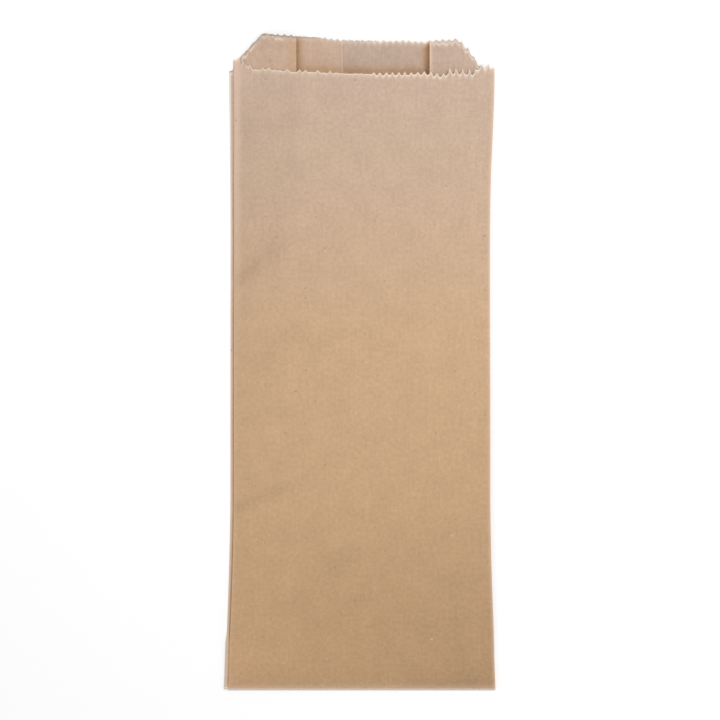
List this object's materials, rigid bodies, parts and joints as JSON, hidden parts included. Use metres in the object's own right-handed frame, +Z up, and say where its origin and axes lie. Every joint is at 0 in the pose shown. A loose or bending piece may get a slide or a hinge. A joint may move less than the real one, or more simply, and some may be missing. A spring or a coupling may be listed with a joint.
{
  "type": "paper baguette bag",
  "caption": "Long brown kraft paper bag, lying flat and empty, with side gussets, a pinked stepped mouth with a lip, a glued back seam and a turned, glued bottom.",
  "frame": {"origin": "centre of the lying bag's outline, on the table that its back panel lies on", "axes": "+Y along the bag towards its mouth, +X across it, +Z up out of its front panel"},
  "size_m": [0.1462, 0.3524, 0.0115],
  "materials": {
    "kraft_paper": "uncoated brown kraft, matt, with fine fibres and faint lengthwise streaks"
  },
  "bodies": {
    "root": {"paper_bag": "kraft_paper"}
  },
  "joints": []
}
